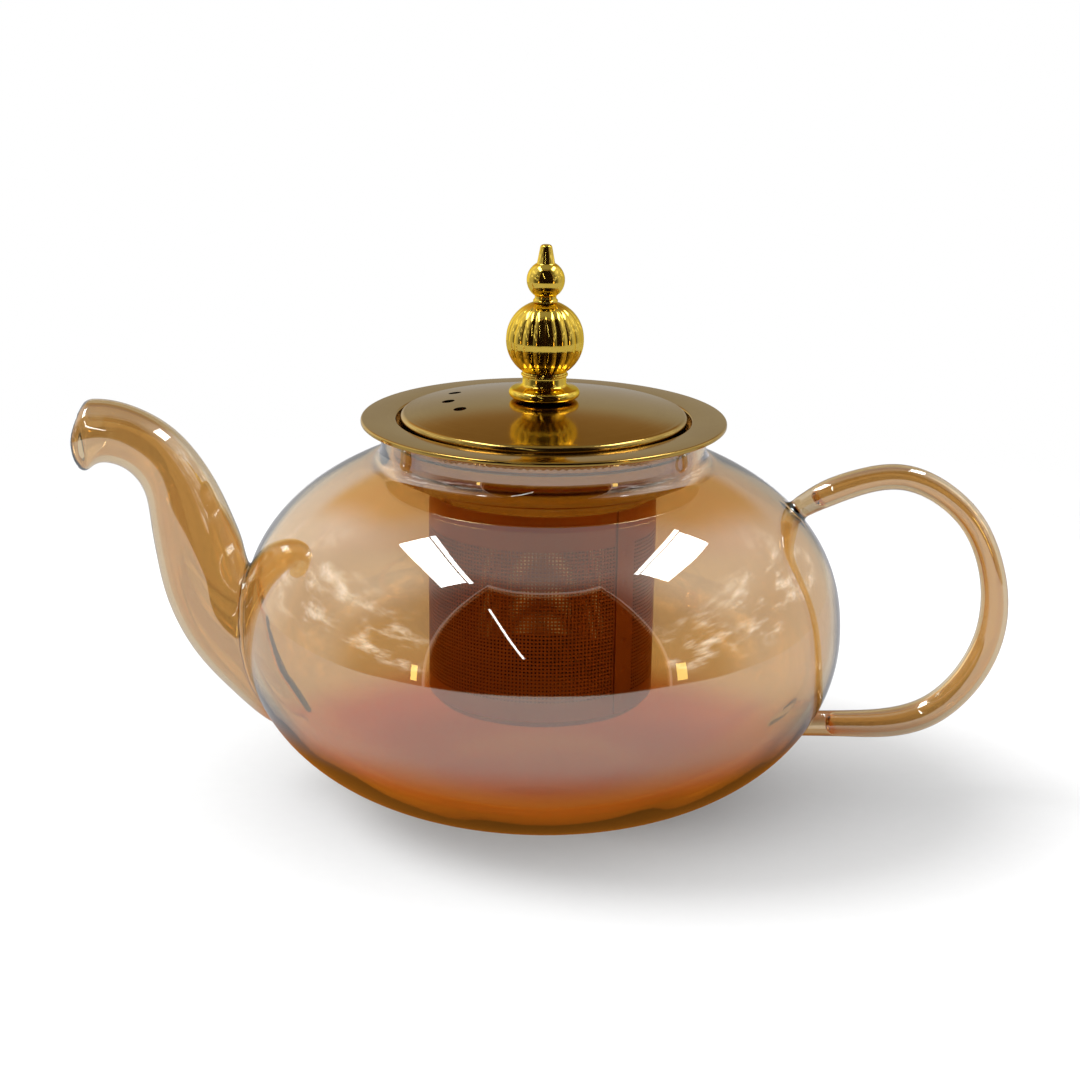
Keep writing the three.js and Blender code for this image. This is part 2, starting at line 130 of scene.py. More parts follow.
# Infuser sheet, its flange, collar, etched basket and base cup.
SHEET = 0.6 * MM
FLANGE_LIP = 1.1 * MM
FLANGE_ROUND = 0.5 * MM
LEDGE_DEPTH = 4 * MM
LEDGE_WIDTH = 3.4 * MM
SHEET_ROUND = 0.3 * MM
BASKET_SHEET = 0.4 * MM
BASKET_LAP = 4 * MM
LAP_GAP = 0.6 * MM
HOLE_COLUMNS = 188
HOLE_ROWS = 41
BAR_SHARE = 0.45
HOLE_BAND_LOW = 29.6 * MM
HOLE_BAND_HIGH = 65.8 * MM
SEAM_COLUMNS = 7
SEAM_BEARING = math.radians(-45)
SEAM_PROUD = 0.3 * MM
CUP_ROUND = 2.4 * MM
EASE = 0.2 * MM

# Lid dome with a rolled edge and three steam vents.
EDGE_ROUND = 1.2 * MM
CROWN_HEIGHT = 3.3 * MM
VENT_RADIUS = 1.5 * MM
VENT_COUNT = 3
VENT_ORBIT = 22.4 * MM
VENT_DRIFT = 2 * MM
VENT_BEARING = 174.5
VENT_STEP = 24.5
VENT_FACETS = 48
DRILL_REACH = 6 * MM

# Knob.
FOOT_RADIUS = 8.25 * MM
FOOT_TOE = 1.15 * MM
FOOT_FLARE_HEIGHT = 3.4 * MM
WAIST_RADIUS = 5.1 * MM
BALL_RADIUS = 9.05 * MM
BALL_SEAT = 5.5 * MM
BALL_TOP = 2.9 * MM
LOBES = 20
LOBE_DEPTH = 0.3 * MM
LOBE_FULLNESS = 0.95
LOBE_FADE = 0.7
TOP_NECK_RADIUS = 2.5 * MM
TOP_NECK_HEIGHT = 1.3 * MM
SMALL_BALL_RADIUS = 4.4 * MM
SPIRE_BASE_RADIUS = 2.15 * MM
SPIRE_TIP_RADIUS = 1.4 * MM
SCREW_RADIUS = 1.5 * MM
SCREW_HOLE = 1.8 * MM
SCREW_HEAD_RADIUS = 3.1 * MM
SCREW_HEAD_HEIGHT = 1.8 * MM
SCREW_SLOT = 0.8 * MM
SCREW_CHAMFER = 0.4 * MM

# Fineness of the finished meshes. The bowl's facets are crowded towards spout and handle.
BOWL_FACETS = 200
BOWL_GATHER = 0.22
METAL_FACETS = 192
SPOUT_SECTIONS = 110
SPOUT_FACETS = 64
HANDLE_SECTIONS = 260
HANDLE_FACETS = 32
BORE_SECTIONS = 240
BORE_FACETS = 24
BORE_END_SECTIONS = 5
LOBE_FACETS = 16
SCREW_FACETS = 48
WASHER_FACETS = 64

# Joints and lips softened by the torch.
FUSE_CRISP = math.radians(28)
FUSE_PULL = 0.6
FUSE_REACH = 2.6 * MM
FUSE_EDGE = 0.9 * MM
FUSE_PASSES = 18


# ---- Outlines ----

def arc(centre_r, centre_z, radius, start, end, steps=8):
    """Points of an arc, between two angles in degrees from the outward direction."""
    angles = np.radians(np.linspace(start, end, steps + 1))
    return [(centre_r + radius * math.cos(a), centre_z + radius * math.sin(a)) for a in angles]


def smooth(points, places):
    """A natural cubic spline through the points, at places from 0 to 1 along it.

    The first two numbers of each point are its position, which sets the spacing."""
    points = np.array(points, float)
    steps = np.linalg.norm(np.diff(points[:, :2], axis=0), axis=1)
    knots = np.concatenate([[0], np.cumsum(steps)])
    count = len(points)
    system = np.eye(count)
    right = np.zeros_like(points)
    for i in range(1, count - 1):
        before, after = steps[i - 1], steps[i]
        system[i, i - 1 : i + 2] = before, 2 * (before + after), after
        rise = (points[i + 1] - points[i]) / after - (points[i] - points[i - 1]) / before
        right[i] = 6 * rise
    bend = np.linalg.solve(system, right)
    at = np.asarray(places) * knots[-1]
    k = np.clip(np.searchsorted(knots, at, side="right") - 1, 0, count - 2)
    gap = steps[k][:, None]
    a = (knots[k + 1] - at)[:, None] / gap
    b = 1 - a
    curve = (a ** 3 - a) * bend[k] + (b ** 3 - b) * bend[k + 1]
    return a * points[k] + b * points[k + 1] + curve * gap ** 2 / 6


def bowl_outline(inset, base_inset, top):
    """The bowl and neck skin, moved in from the outside, from the axis up to a level."""
    radius = BOWL_RADIUS - inset
    neck = NECK_RADIUS - inset
    foot = NECK_TOP - NECK_HEIGHT
    depth = WIDEST - base_inset
    outline = [(0, base_inset)]
    for r in np.linspace(0, BASE_RADIUS, 8)[1:-1]:
        outline.append((r, base_inset))
    for angle in np.linspace(0, math.pi / 2, 44):
        spread = (radius - BASE_RADIUS) * math.sin(angle) ** (2 / BELLY_POWER)
        drop = depth * max(0, math.cos(angle)) ** (2 / BELLY_POWER)
        outline.append((BASE_RADIUS + spread, WIDEST - drop))
    end = math.acos(((neck + NECK_FILLET) / radius) ** (CROWN_POWER / 2))
    rise = CROWN_RISE - inset
    for angle in np.linspace(0, end, 34)[1:]:
        r = radius * math.cos(angle) ** (2 / CROWN_POWER)
        outline.append((r, WIDEST + rise * math.sin(angle) ** (2 / CROWN_POWER)))
    shoulder = outline[-1]
    corner = (neck, foot + NECK_FILLET)
    for t in np.linspace(0, 1, 8)[1:]:
        along = [(1 - t) ** 2, 2 * t * (1 - t), t ** 2]
        pull = (neck, shoulder[1] + NECK_FILLET * 0.35)
        outline.append(tuple(np.dot(along, [shoulder, pull, corner])))
    for z in np.linspace(corner[1], top, 7)[1:]:
        outline.append((neck, z))
    outline.append((0, top))
    return outline


# ---- Mesh makers ----

def new_piece(name, vertices, faces, material=None):
    mesh = bpy.data.meshes.new(name)
    mesh.from_pydata([tuple(v) for v in vertices], [], faces)
    if material:
        mesh.materials.append(material)
    piece = bpy.data.objects.new(name, mesh)
    bpy.context.scene.collection.objects.link(piece)
    tidy_mesh(piece)
    return piece


def keep_crisp(piece, angle=35):
    """Smooth faces, with the edges that fold by more than an angle in degrees kept crisp."""
    piece.data.shade_smooth()
    piece.data.set_sharp_from_angle(angle=math.radians(angle))


def tidy_mesh(piece):
    """Merges doubles, turns faces outwards and keeps the crisp edges."""
    mesh = bmesh.new()
    mesh.from_mesh(piece.data)
    bmesh.ops.remove_doubles(mesh, verts=mesh.verts, dist=1e-7)
    bmesh.ops.recalc_face_normals(mesh, faces=mesh.faces)
    mesh.to_mesh(piece.data)
    mesh.free()
    keep_crisp(piece)


def rings_to_mesh(rings, closed=False):
    """Skins a row of rings of equal count. A ring of one point is a pole."""
    vertices = []
    starts = []
    for ring in rings:
        starts.append(len(vertices))
        vertices.extend(ring)
    faces = []
    pairs = list(zip(range(len(rings) - 1), range(1, len(rings))))
    if closed:
        pairs.append((len(rings) - 1, 0))
    for low, high in pairs:
        count = max(len(rings[low]), len(rings[high]))
        for i in range(count):
            j = (i + 1) % count
            face = []
            for row, column in ((low, i), (low, j), (high, j), (high, i)):
                corner = starts[row] + (column if len(rings[row]) > 1 else 0)
                if corner not in face:
                    face.append(corner)
            faces.append(face)
    return vertices, faces


def turned(name, outline, material=None, closed=False, facets=METAL_FACETS, gather=0, lobe=None):
    """A piece turned about the Z axis. Gather crowds the facets towards the X axis.

    Lobe gives the reach at a radius and a turn, for a piece that isn't round."""
    turns = 2 * math.pi * np.arange(facets) / facets
    turns = turns - gather * np.sin(2 * turns)
    rings = []
    for r, z in outline:
        if r < 1e-9:
            rings.append([(0, 0, z)])
            continue
        reach = [r if lobe is None else lobe(r, t) for t in turns]
        rings.append([(s * math.cos(t), s * math.sin(t), z) for s, t in zip(reach, turns)])
    vertices, faces = rings_to_mesh(rings, closed)
    return new_piece(name, vertices, faces, material)


def lofted(name, sections, facets):
    """A closed body through rows of (centre, half axis, half width, bow of its middle)."""
    rings = []
    for centre, half, side, bow in sections:
        ring = []
        for t in 2 * math.pi * np.arange(facets) / facets:
            x, z = centre + half * math.cos(t) + bow * math.sin(t) ** 2
            ring.append((x, side * math.sin(t), z))
        rings.append(ring)
    ends = [[tuple(np.mean(ring, axis=0))] for ring in (rings[0], rings[-1])]
    vertices, faces = rings_to_mesh([ends[0], *rings, ends[1]])
    return new_piece(name, vertices, faces)


def baked(piece):
    """Turns the piece's modifiers into a plain mesh."""
    shape = piece.evaluated_get(bpy.context.evaluated_depsgraph_get())
    mesh = bpy.data.meshes.new_from_object(shape)
    piece.modifiers.clear()
    piece.data = mesh
    return piece


def cut_or_join(piece, tool, operation):
    tool.data.materials.clear()
    for material in piece.data.materials:
        tool.data.materials.append(material)
    change = piece.modifiers.new("change", "BOOLEAN")
    change.object = tool
    change.operation = operation
    change.solver = "MANIFOLD"
    baked(piece)
    bpy.data.objects.remove(tool)
    return piece


# ---- Shader maths ----

class Value:
    """A socket that takes part in Python sums, each of which adds a Math node."""

    def __init__(self, tree, socket):
        self.tree = tree
        self.socket = socket

    def maths(self, operation, other=0.0, swapped=False, clamp=False):
        terms = {0: other, 1: self} if swapped else {0: self, 1: other}
        settings = {"operation": operation, "use_clamp": clamp}
        return self.tree.add("ShaderNodeMath", settings, terms)

    def __add__(self, other):
        return self.maths("ADD", other)

    __radd__ = __add__

    def __sub__(self, other):
        return self.maths("SUBTRACT", other)

    def __rsub__(self, other):
        return self.maths("SUBTRACT", other, swapped=True)

    def __mul__(self, other):
        return self.maths("MULTIPLY", other)

    __rmul__ = __mul__

    def __truediv__(self, other):
        return self.maths("DIVIDE", other)

    def __rtruediv__(self, other):
        return self.maths("DIVIDE", other, swapped=True)

    def __pow__(self, other):
        return self.maths("POWER", other)

    def __abs__(self):
        return self.maths("ABSOLUTE")

    def __mod__(self, other):
        return self.maths("MODULO", other)

    def __gt__(self, other):
        return self.maths("GREATER_THAN", other)

    def __lt__(self, other):
        return self.maths("LESS_THAN", other)

    def floor(self):
        return self.maths("FLOOR")

    def limited(self):
        return self.maths("ADD", 0.0, clamp=True)

    def larger(self, other):
        return self.maths("MAXIMUM", other)

    def smaller(self, other):
        return self.maths("MINIMUM", other)

    def span(self, low, high):
        """0 below low, 1 above high and a soft step between. High may be the lower one."""
        limits = {"Value": self, "From Min": low, "From Max": high}
        return self.tree.add("ShaderNodeMapRange", {"interpolation_type": "SMOOTHSTEP"}, limits)

    def parts(self):
        split = self.tree.add("ShaderNodeSeparateXYZ", {}, {0: self}).socket.node
        return [Value(self.tree, output) for output in split.outputs]


class Tree:
    """A node tree that is filled by calls."""

    def __init__(self, tree):
        self.tree = tree
        tree.nodes.clear()

    def add(self, kind, settings=None, inputs=None, output=0):
        node = self.tree.nodes.new(kind)
        for key, setting in (settings or {}).items():
            setattr(node, key, setting)
        for key, value in (inputs or {}).items():
            if isinstance(value, Value):
                self.tree.links.new(value.socket, node.inputs[key])
            else:
                node.inputs[key].default_value = value
        return Value(self, node.outputs[output])

    def mix(self, factor, first, second):
        """A colour between two colours."""
        return self.add("ShaderNodeMix", {"data_type": "RGBA"}, {0: factor, 6: first, 7: second}, 2)

    def vector(self, x, y, z):
        return self.add("ShaderNodeCombineXYZ", {}, {0: x, 1: y, 2: z})

    def noise(self, place, scale, detail=2.0, roughness=0.5):
        inputs = {"Vector": place, "Scale": scale, "Detail": detail, "Roughness": roughness}
        return self.add("ShaderNodeTexNoise", {}, inputs)


class Finish(Tree):
    """A material with one Principled surface."""

    def __init__(self, name, **constants):
        self.material = bpy.data.materials.new(name)
        self.material.use_nodes = True
        super().__init__(self.material.node_tree)
        self.surface = self.tree.nodes.new("ShaderNodeBsdfPrincipled")
        self.output = self.tree.nodes.new("ShaderNodeOutputMaterial")
        self.tree.links.new(self.surface.outputs[0], self.output.inputs[0])
        for key, value in constants.items():
            self.surface.inputs[key.replace("_", " ")].default_value = value
        self.place = self.add("ShaderNodeTexCoord", {}, {}, "Object")

    def set(self, socket, value):
        self.tree.links.new(value.socket, self.surface.inputs[socket])

    def bump(self, height, distance):
        inputs = {"Height": height, "Distance": distance, "Strength": 1.0}
        self.set("Normal", self.add("ShaderNodeBump", {}, inputs))

    def blend(self, factor, first, second):
        """Ends the material in a mix of two surfaces."""
        mixed = self.add("ShaderNodeMixShader", {}, {0: factor, 1: first, 2: second})
        self.tree.links.new(mixed.socket, self.output.inputs[0])


def colour(red, green, blue):
    return (red, green, blue, 1.0)


# ---- Finishes ----

def amber_glass():
    """Amber glass with a thin lustre film, faint blowing waves and a few seeds."""
    finish = Finish(
        "amber_glass",
        Transmission_Weight=1.0,
        Roughness=0.0,
        IOR=1.5,
        Thin_Film_Thickness=66.0,
        Thin_Film_IOR=1.95,
    )
    height = finish.place.parts()[2]
    drift = finish.noise(finish.place, 22.0, 1.0)
    tan = finish.mix(drift, colour(0.93, 0.67, 0.33), colour(0.97, 0.72, 0.38))
    # Deeper amber towards the bottom: full below 3 mm and none above 19 mm.
    deeper_below = 1 - height.span(3 * MM, 19 * MM)
    amber = finish.mix(deeper_below * 0.9, tan, colour(0.93, 0.36, 0.05))
    seeds = {"Vector": finish.place, "Scale": 240.0}
    seed = finish.add("ShaderNodeTexVoronoi", {}, seeds, "Distance")
    cell = finish.add("ShaderNodeTexVoronoi", {}, seeds, "Color").parts()[0]
    speck = (seed < 0.05) * (cell > 0.965)
    finish.set("Base Color", finish.mix(speck * 0.55, amber, colour(0.12, 0.06, 0.03)))
    waves = finish.noise(finish.place, 34.0, 1.0)
    finish.bump(waves, 0.28 * MM)
    daylight = finish.add("ShaderNodeBsdfTransparent", {}, {"Color": colour(0.74, 0.735, 0.73)})
    shadow = finish.add("ShaderNodeLightPath", {}, {}, "Is Shadow Ray")
    diffuse = finish.add("ShaderNodeLightPath", {}, {}, "Is Diffuse Ray")
    surface = Value(finish, finish.surface.outputs[0])
    finish.blend(shadow.larger(diffuse), surface, daylight)
    return finish.material


def bronze_steel():
    """Coated stainless steel with faint turning lines and wiping smudges."""
    finish = Finish("bronze_steel", Metallic=1.0, Specular_Tint=colour(1.0, 0.93, 0.8))
    x, y, z = finish.place.parts()
    radius = (x ** 2.0 + y ** 2.0) ** 0.5
    lines = finish.noise(finish.vector(radius * 2600.0, z * 2600.0, 0.0), 1.0, 3.0)
    smudge = finish.noise(finish.place, 60.0, 4.0, 0.6)
    tone = (lines * 0.35 + smudge * 0.65).span(0.3, 0.7)
    finish.set("Base Color", finish.mix(tone, colour(0.43, 0.27, 0.06), colour(0.49, 0.33, 0.09)))
    finish.set("Roughness", 0.07 + lines * 0.05 + smudge * 0.06)
    finish.bump(lines, 0.004 * MM)
    return finish.material


def etched_sheet():
    """The basket's thinner sheet, matt from etching."""
    finish = Finish("etched_sheet", Metallic=1.0, Specular_Tint=colour(1.0, 0.7, 0.4))
    grain = finish.noise(finish.place, 2400.0, 3.0, 0.6)
    patch = finish.noise(finish.place, 90.0, 2.0)
    finish.set("Base Color", finish.mix(patch, colour(0.32, 0.09, 0.015), colour(0.42, 0.13, 0.025)))
    finish.set("Roughness", 0.26 + grain * 0.2)
    finish.bump(grain, 0.01 * MM)
    return finish.material


def gold_plate():
    """Bright yellow plate over turned metal, its tone and gloss changing in random patches."""
    finish = Finish("gold_plate", Metallic=1.0, Specular_Tint=colour(1.0, 0.85, 0.4))
    height = finish.place.parts()[2]
    patch = finish.noise(finish.place, 420.0, 3.0)
    turning = finish.noise(finish.vector(0.0, 0.0, height * 3000.0), 1.0, 2.0)
    finish.set("Base Color", finish.mix(patch, colour(0.74, 0.49, 0.055), colour(0.88, 0.64, 0.12)))
    finish.set("Roughness", 0.06 + patch * 0.06)
    finish.bump(turning, 0.003 * MM)
    return finish.material


def plain_steel():
    finish = Finish("plain_steel", Metallic=1.0)
    grain = finish.noise(finish.place, 1500.0, 3.0)
    finish.set("Base Color", finish.mix(grain, colour(0.50, 0.50, 0.49), colour(0.66, 0.66, 0.64)))
    finish.set("Roughness", 0.22 + grain * 0.16)
    finish.bump(grain, 0.01 * MM)
    return finish.material


GLASS = amber_glass()
BRONZE = bronze_steel()
ETCHED = etched_sheet()
GOLD = gold_plate()
STEEL = plain_steel()


def keep(piece, body, slot, *nodes):
    """Puts a finished piece on a body, in place of the plain nodes."""
    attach(piece, body)
    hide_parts(*nodes)


# ---- Glass: bowl, spout and handle fused into one piece ----

def spout_sections(wall, count, overrun):
    """Sections along the spout, drawn in by a wall, on past the mouth by an overrun."""
    rows = []
    for low, high, side in SPOUT_OUTLINE:
        centre = (np.array(low) + np.array(high)) / 2
        rows.append([*centre, *low, *high, side])
    places = np.linspace(0, 1, count)
    rows = smooth(rows, places) * MM
    origin = np.array([-BOWL_RADIUS, WIDEST])
    flip = np.array([-1, 1])
    length = np.linalg.norm(np.diff(rows[:, :2], axis=0), axis=1).sum()
    sections = []
    for place, row in zip(places, rows):
        low = origin + flip * row[2:4]
        high = origin + flip * row[4:6]
        centre = (low + high) / 2
        half = low - centre
        size = np.linalg.norm(half)
        near = max(0.0, 1 - (1 - place) * length / MOUTH_BOW_LENGTH)
        bow = np.array([-1.0, 0.0]) * MOUTH_BOW * near ** 2
        sections.append([centre, half * (size - wall) / size, row[6] - wall, bow])
    if overrun:
        centre, half, side, bow = sections[-1]
        sections.append([centre + np.array([-overrun, 0.0]), half, side, bow])
    return sections


def handle_sections(wall, start, end, count):
    """Sections along the handle between two places, given as out from the bowl's widest."""
    rows = smooth(np.array(HANDLE_LINE), np.linspace(0, 1, count)) * MM
    if start is not None:
        upper = rows[:, 1] > 0
        inside = np.where(upper, rows[:, 0] > start, rows[:, 0] > end)
        rows = rows[inside]
    sections = []
    headings = np.gradient(rows[:, :2], axis=0)
    for i, row in enumerate(rows):
        radius = row[2] - wall
        if start is not None:
            from_end = min(i, len(rows) - 1 - i) + 0.5
            radius *= math.sqrt(min(1.0, from_end / BORE_END_SECTIONS))
        heading = headings[i] / np.linalg.norm(headings[i])
        half = np.array([-heading[1], heading[0]]) * radius
        centre = row[:2] + np.array([BOWL_RADIUS, WIDEST])
        sections.append([centre, half, radius, np.zeros(2)])
    return sections


def drop_flaps(mesh):
    """Takes away any two faces laid back to back on the same corners."""
    shared = {}
    for face in mesh.faces:
        shared.setdefault(frozenset(face.verts), []).append(face)
    doubled = [face for faces in shared.values() if len(faces) > 1 for face in faces]
    bmesh.ops.delete(mesh, geom=doubled, context="FACES")


def fuse_joints(piece):
    """Rounds every crisp joint and lip as a torch does, by local smoothing."""
    mesh = bmesh.new()
    mesh.from_mesh(piece.data)
    bmesh.ops.remove_doubles(mesh, verts=mesh.verts, dist=0.02 * MM)
    bmesh.ops.triangulate(mesh, faces=mesh.faces)

    def creases():
        solid = [e for e in mesh.edges if e.is_manifold]
        folded = [e for e in solid if e.calc_face_angle() > FUSE_CRISP]
        points = {v.index: v.co.copy() for e in folded for v in e.verts}
        tree = KDTree(len(points))
        for index, place in points.items():
            tree.insert(place, index)
        tree.balance()
        return tree

    for _ in range(2):
        mesh.verts.index_update()
        near = creases()
        long_edges = []
        for edge in mesh.edges:
            middle = (edge.verts[0].co + edge.verts[1].co) / 2
            if edge.calc_length() > FUSE_EDGE and near.find(middle)[2] < FUSE_REACH:
                long_edges.append(edge)
        bmesh.ops.subdivide_edges(mesh, edges=long_edges, cuts=1)
        bmesh.ops.triangulate(mesh, faces=mesh.faces)
    drop_flaps(mesh)
    mesh.verts.index_update()
    near = creases()
    places = np.array([v.co for v in mesh.verts])
    gaps = np.array([near.find(v.co)[2] for v in mesh.verts])
    weight = np.clip(1 - gaps / FUSE_REACH, 0, 1)
    weight = (weight * weight * (3 - 2 * weight))[:, None] * FUSE_PULL
    ends = np.array([[e.verts[0].index, e.verts[1].index] for e in mesh.edges])
    count = np.bincount(ends.ravel(), minlength=len(places))[:, None]
    for _ in range(FUSE_PASSES):
        total = np.zeros_like(places)
        np.add.at(total, ends[:, 0], places[ends[:, 1]])
        np.add.at(total, ends[:, 1], places[ends[:, 0]])
        places += weight * (total / np.maximum(count, 1) - places)
    for vertex, place in zip(mesh.verts, places):
        vertex.co = place
    mesh.to_mesh(piece.data)
    mesh.free()
    keep_crisp(piece, 60)


def glass_vessel():
    skin = bowl_outline(0, 0, NECK_TOP)
    vessel = turned("glass_vessel", skin, GLASS, False, BOWL_FACETS, BOWL_GATHER)
    spout = lofted("spout", spout_sections(0, SPOUT_SECTIONS, 0), SPOUT_FACETS)
    cut_or_join(vessel, spout, "UNION")
    handle = lofted("handle", handle_sections(0, None, None, HANDLE_SECTIONS), HANDLE_FACETS)
    cut_or_join(vessel, handle, "UNION")
    hollow_top = NECK_TOP + 2 * MM
    inner = bowl_outline(BOWL_WALL, BASE_THICKNESS, hollow_top)
    hollow = turned("hollow", inner, None, False, BOWL_FACETS, BOWL_GATHER)
    bore = lofted("bore", spout_sections(SPOUT_WALL, SPOUT_SECTIONS, 3 * MM), SPOUT_FACETS)
    cut_or_join(hollow, bore, "UNION")
    cut_or_join(vessel, hollow, "DIFFERENCE")
    tube = handle_sections(HANDLE_WALL, HANDLE_BORE_FROM, HANDLE_BORE_TO, BORE_SECTIONS)
    cut_or_join(vessel, lofted("tube", tube, BORE_FACETS), "DIFFERENCE")
    fuse_joints(vessel)
    return vessel


# ---- Infuser ----

def infuser_rim():
    outer = RIM_RADIUS
    top = RIM_TOP
    ledge = top - LEDGE_DEPTH
    recess = COLLAR_RADIUS - SHEET
    tip = COLLAR_RADIUS - LEDGE_WIDTH
    edge = FLANGE_ROUND
    half = SHEET / 2
    outline = [(outer, top - FLANGE_LIP + EASE)]
    outline += arc(outer - edge, top - edge, edge, 0, 90)
    outline += arc(recess + edge, top - edge, edge, 90, 180)
    outline += arc(recess - SHEET_ROUND, ledge + SHEET_ROUND, SHEET_ROUND, 0, -90, 4)
    outline += arc(tip + half, ledge - half, half, 90, 270, 6)
    outline += arc(COLLAR_RADIUS - edge, ledge - SHEET + edge, edge, -90, 0, 5)
    outline += [(COLLAR_RADIUS, top - SHEET), (outer - SHEET, top - SHEET)]
    outline += [(outer - SHEET, top - FLANGE_LIP), (outer - EASE, top - FLANGE_LIP)]
    return turned("infuser_flange", outline, BRONZE, True)


def infuser_collar():
    outer = COLLAR_RADIUS
    top = collar_high.z
    step = collar_low.z + BASKET_LAP
    lap = BASKET_RADIUS + LAP_GAP
    bend = SHEET
    outline = [(lap + SHEET, step - BASKET_LAP)]
    outline += arc(lap + 2 * SHEET, step - 2 * SHEET, SHEET, 180, 90, 4)
    outline += arc(outer - bend, step - SHEET + bend, bend, -90, 0, 5)
    outline += [(outer, top), (outer - SHEET, top)]
    outline += [(outer - SHEET, step + EASE / 2), (outer - SHEET - EASE / 2, step)]
    outline += [(lap + EASE, step), (lap, step - EASE), (lap, step - BASKET_LAP)]
    return turned("infuser_neck_ring", outline, BRONZE, True)


def perforated_sheet():
    """A tree that bends a flat grid round a drum and leaves out its square holes."""
    group = bpy.data.node_groups.new("perforated_sheet", "GeometryNodeTree")
    tree = Tree(group)
    sizes = {
        "Columns": ("NodeSocketInt", HOLE_COLUMNS),
        "Rows": ("NodeSocketInt", HOLE_ROWS),
        "Radius": ("NodeSocketFloat", BASKET_RADIUS),
        "Low": ("NodeSocketFloat", basket_low.z),
        "High": ("NodeSocketFloat", basket_high.z),
        "Band low": ("NodeSocketFloat", HOLE_BAND_LOW),
        "Band high": ("NodeSocketFloat", HOLE_BAND_HIGH),
        "Bar share": ("NodeSocketFloat", BAR_SHARE),
        "Plain columns": ("NodeSocketInt", SEAM_COLUMNS),
        "Start": ("NodeSocketFloat", SEAM_BEARING - math.pi * SEAM_COLUMNS / HOLE_COLUMNS),
        "Material": ("NodeSocketMaterial", ETCHED),
    }
    for name, (kind, _) in sizes.items():
        group.interface.new_socket(name, in_out="INPUT", socket_type=kind)
    group.interface.new_socket("Geometry", in_out="OUTPUT", socket_type="NodeSocketGeometry")
    given = group.nodes.new("NodeGroupInput")
    size = {name: Value(tree, given.outputs[name]) for name in sizes}
    columns = size["Columns"] * 2.0
    rows = size["Rows"] * 2.0 + 1.0
    spans = {"Size X": columns, "Size Y": rows, "Vertices X": columns + 1.0, "Vertices Y": rows + 1.0}
    grid = tree.add("GeometryNodeMeshGrid", {}, spans)
    across, up, _ = tree.add("GeometryNodeInputPosition").parts()
    column = across + columns / 2.0
    row = up + rows / 2.0
    is_hole = (column.floor() % 2.0) * (row.floor() % 2.0) * (column > size["Plain columns"] * 2.0)
    holes = {"Geometry": grid, "Selection": is_hole > 0.5}
    kept = tree.add("GeometryNodeDeleteGeometry", {"domain": "FACE"}, holes)
    line = (column + 0.5).floor()
    level = (row + 0.5).floor()
    turn = 2 * math.pi / size["Columns"]
    stride = (line / 2.0).floor() + (line % 2.0) * size["Bar share"]
    angle = size["Start"] + stride * turn
    pitch = (size["Band high"] - size["Band low"]) / size["Rows"]
    rung = level - 1.0
    climb = (rung / 2.0).floor() + (rung % 2.0) * (1 - size["Bar share"])
    z = size["Band low"] + climb * pitch
    z = z + (level < 0.5) * (size["Low"] - z)
    z = z + (level > rows - 0.5) * (size["High"] - z)
    place = tree.vector(
        size["Radius"] * angle.maths("COSINE"), size["Radius"] * angle.maths("SINE"), z
    )
    bent = tree.add("GeometryNodeSetPosition", {}, {"Geometry": kept, "Position": place})
    joined = tree.add("GeometryNodeMergeByDistance", {}, {"Geometry": bent, "Distance": 0.02 * MM})
    real = tree.add("GeometryNodeRealizeInstances", {}, {"Geometry": joined})
    last = {"Geometry": real, "Material": size["Material"]}
    painted = tree.add("GeometryNodeSetMaterial", {}, last)
    result = group.nodes.new("NodeGroupOutput")
    group.links.new(painted.socket, result.inputs["Geometry"])
    return group, sizes


def infuser_basket():
    group, sizes = perforated_sheet()
    piece = new_piece("infuser_etched_basket", [], [])
    bend = piece.modifiers.new("sheet", "NODES")
    bend.node_group = group
    for item in group.interface.items_tree:
        if item.in_out == "INPUT":
            bend[item.identifier] = sizes[item.name][1]
    thicken = piece.modifiers.new("thickness", "SOLIDIFY")
    thicken.thickness = BASKET_SHEET
    thicken.offset = -1
    baked(piece)
    keep_crisp(piece, 30)
    return piece


def basket_seam():
    """The lapped end of the sheet, a narrow strip with a row of spot welds."""
    reach = math.pi * SEAM_COLUMNS / HOLE_COLUMNS * 0.8
    low = basket_low.z
    high = basket_high.z
    columns = 24
    rows = 240
    weld_pitch = 7 * MM
    weld_radius = 0.9 * MM
    weld_depth = 0.18 * MM
    vertices = []
    for i in range(rows + 1):
        z = low + (high - low) * i / rows
        for j in range(columns + 1):
            offset = reach * (2 * j / columns - 1)
            along = (z - low) % weld_pitch - weld_pitch / 2
            gap = math.hypot(along, offset * BASKET_RADIUS)
            dent = weld_depth * max(0.0, 1 - (gap / weld_radius) ** 2) ** 2
            r = BASKET_RADIUS + SEAM_PROUD - dent
            bearing = SEAM_BEARING + offset
            vertices.append((r * math.cos(bearing), r * math.sin(bearing), z))
    faces = []
    for i in range(rows):
        for j in range(columns):
            a = i * (columns + 1) + j
            faces.append((a, a + 1, a + columns + 2, a + columns + 1))
    piece = new_piece("infuser_seam_strip", vertices, faces, ETCHED)
    thicken = piece.modifiers.new("thickness", "SOLIDIFY")
    thicken.thickness = SEAM_PROUD - 0.04 * MM
    thicken.offset = -1
    baked(piece)
    tidy_mesh(piece)
    return piece


def infuser_cup():
    low = cup_low.z
    top = cup_high.z
    outer = CUP_RADIUS
    bend = CUP_ROUND
    outline = [(0, low)]
    outline += arc(outer - bend, low + bend, bend, -90, 0)
    outline += arc(outer - SHEET / 2, top - SHEET / 2, SHEET / 2, 0, 180, 6)
    outline += arc(outer - bend, low + bend, bend - SHEET, 0, -90)
    outline += [(0, low + SHEET)]
    return turned("infuser_cup", outline, BRONZE)


# ---- Lid ----

